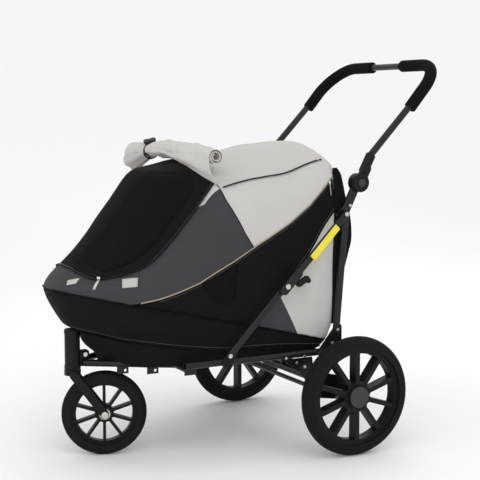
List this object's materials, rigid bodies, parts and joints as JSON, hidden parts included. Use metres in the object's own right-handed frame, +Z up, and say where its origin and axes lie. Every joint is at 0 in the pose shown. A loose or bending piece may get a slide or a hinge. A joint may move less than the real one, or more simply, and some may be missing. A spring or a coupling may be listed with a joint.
{
  "type": "pet stroller",
  "caption": "Three-wheel folding pet stroller with a zipped fabric cabin, swivelling front wheel and height-set push handle.",
  "frame": {"origin": "on the ground, under the middle of the whole stroller", "axes": "+Z up, -Y forward, +X to the left of the person pushing"},
  "size_m": [0.696, 1.026, 1.011],
  "materials": {
    "frame_black": "satin",
    "plastic_black": "satin",
    "plastic_gloss": "gloss",
    "steel": "satin",
    "tyre": "matte",
    "foam": "matte",
    "fabric_black": "woven",
    "fabric_charcoal": "woven",
    "fabric_grey": "woven",
    "mesh_black": "open mesh",
    "cushion": "quilted",
    "board": "plain"
  },
  "bodies": {
    "chassis": {"bottom_rail_left": "frame_black", "bottom_rail_right": "frame_black", "gusset_left": "frame_black", "gusset_right": "frame_black", "axle_bracket_left": "frame_black", "axle_bracket_right": "frame_black", "link_feet": "frame_black", "chassis_fasteners": "steel", "cross_tubes": "frame_black", "spine_tubes": "frame_black", "floor_tabs": "frame_black", "axle_beam": "frame_black", "rear_axle": "steel", "caster_housing": "plastic_black", "tub": "fabric_black", "floor_board": "board", "floor_cushion": "cushion", "cover_roll": "fabric_grey", "roof_panel": "fabric_grey", "rear_frame": "fabric_grey", "nose_apron": "fabric_charcoal", "side_panel_left": "fabric_charcoal", "side_panel_right": "fabric_charcoal"},
    "front_flap": {"front_door": "mesh_black"},
    "rear_flap": {"rear_door": "mesh_black"},
    "fold_frame": {"upright_left": "frame_black", "upright_right": "frame_black", "frame_rivets": "steel"},
    "upper_links": {"upper_link_left": "frame_black", "upper_link_right": "frame_black", "knuckle_rivets": "steel"},
    "lower_links": {"lower_link_left": "frame_black", "lower_link_right": "frame_black"},
    "lever_left": {"lock_lever_left": "plastic_black"},
    "lever_right": {"lock_lever_right": "plastic_black"},
    "handle": {"handle_tube": "frame_black", "grip_left": "foam", "grip_right": "foam", "handle_socket_left": "plastic_black", "handle_socket_right": "plastic_black"},
    "button_left": {"hub_button_left": "plastic_black"},
    "button_right": {"hub_button_right": "plastic_black"},
    "wheel_left": {"tyre_left": "tyre", "rim_left": "plastic_black", "hub_cap_left": "plastic_gloss", "bearings_left": "steel"},
    "wheel_right": {"tyre_right": "tyre", "rim_right": "plastic_black", "hub_cap_right": "plastic_gloss", "bearings_right": "steel"},
    "wheel_front": {"tyre_front": "tyre", "rim_front": "plastic_black", "bearings_front": "steel"},
    "caster": {"caster_fork": "plastic_black", "caster_stem": "steel", "front_axle": "steel"},
    "brake": {"brake_rod": "frame_black", "brake_levers": "plastic_black"},
    "pin_left": {"brake_pin_left": "steel"},
    "pin_right": {"brake_pin_right": "steel"}
  },
  "joints": [
    {"name": "frame_fold", "type": "hinge", "parent": "chassis", "child": "fold_frame", "pos_m": [0, 0.17601, 0.313], "axis": [1, 0, 0], "range_deg": [0, 80]},
    {"name": "upper_link_fold", "type": "hinge", "parent": "fold_frame", "child": "upper_links", "pos_m": [0, 0.18801, 0.612], "axis": [1, 0, 0], "range_deg": [-0.5, 19.45]},
    {"name": "lower_link_fold", "type": "hinge", "parent": "chassis", "child": "lower_links", "pos_m": [0, -0.13899, 0.276], "axis": [1, 0, 0], "range_deg": [-57.11, 0.5]},
    {"name": "lock_lever_left", "type": "hinge", "parent": "upper_links", "child": "lever_left", "pos_m": [0.27, 0.04964, 0.44238], "axis": [1, 0, 0], "range_deg": [-30, 0], "stiffness_Nm_per_rad": 0.3},
    {"name": "lock_lever_right", "type": "hinge", "parent": "upper_links", "child": "lever_right", "pos_m": [-0.27, 0.04964, 0.44238], "axis": [1, 0, 0], "range_deg": [-30, 0], "stiffness_Nm_per_rad": 0.3},
    {"name": "handle_angle", "type": "hinge", "parent": "fold_frame", "child": "handle", "pos_m": [0, 0.23601, 0.69], "axis": [1, 0, 0], "range_deg": [-45, 45]},
    {"name": "hub_button_left", "type": "slide", "parent": "handle", "child": "button_left", "axis": [-1, 0, 0], "range_m": [0, 0.003], "stiffness_N_per_m": 800},
    {"name": "hub_button_right", "type": "slide", "parent": "handle", "child": "button_right", "axis": [1, 0, 0], "range_m": [0, 0.003], "stiffness_N_per_m": 800},
    {"name": "rear_wheel_left", "type": "hinge", "parent": "chassis", "child": "wheel_left", "pos_m": [0.323, 0.18801, 0.1525], "axis": [1, 0, 0], "continuous": true},
    {"name": "rear_wheel_right", "type": "hinge", "parent": "chassis", "child": "wheel_right", "pos_m": [-0.323, 0.18801, 0.1525], "axis": [1, 0, 0], "continuous": true},
    {"name": "caster_swivel", "type": "hinge", "parent": "chassis", "child": "caster", "pos_m": [0, -0.44999, 0.226], "axis": [0, 0, 1], "continuous": true},
    {"name": "front_wheel", "type": "hinge", "parent": "caster", "child": "wheel_front", "pos_m": [0.02387, -0.37521, 0.108], "axis": [0.9527, -0.304, 0], "continuous": true},
    {"name": "brake_lever", "type": "hinge", "parent": "chassis", "child": "brake", "pos_m": [0, 0.12801, 0.158], "axis": [1, 0, 0], "range_deg": [-20, 0]},
    {"name": "brake_pin_left", "type": "slide", "parent": "chassis", "child": "pin_left", "axis": [1, 0, 0], "range_m": [-0.0002, 0.0082]},
    {"name": "brake_pin_right", "type": "slide", "parent": "chassis", "child": "pin_right", "axis": [-1, 0, 0], "range_m": [-0.0002, 0.0082]},
    {"name": "front_door", "type": "hinge", "parent": "chassis", "child": "front_flap", "pos_m": [0, -0.16399, 0.744], "axis": [1, 0, 0], "range_deg": [-25, 0]},
    {"name": "rear_door", "type": "hinge", "parent": "chassis", "child": "rear_flap", "pos_m": [0, 0.18401, 0.322], "axis": [1, 0, 0], "range_deg": [-100, 0]}
  ],
  "couplings": [
    {"joint": "upper_link_fold", "follows": "frame_fold", "ratio": 0.23688},
    {"joint": "lower_link_fold", "follows": "frame_fold", "ratio": -0.70766},
    {"joint": "brake_pin_left", "follows": "brake_lever", "m_per_rad": -0.022918},
    {"joint": "brake_pin_right", "follows": "brake_lever", "m_per_rad": -0.022918}
  ]
}
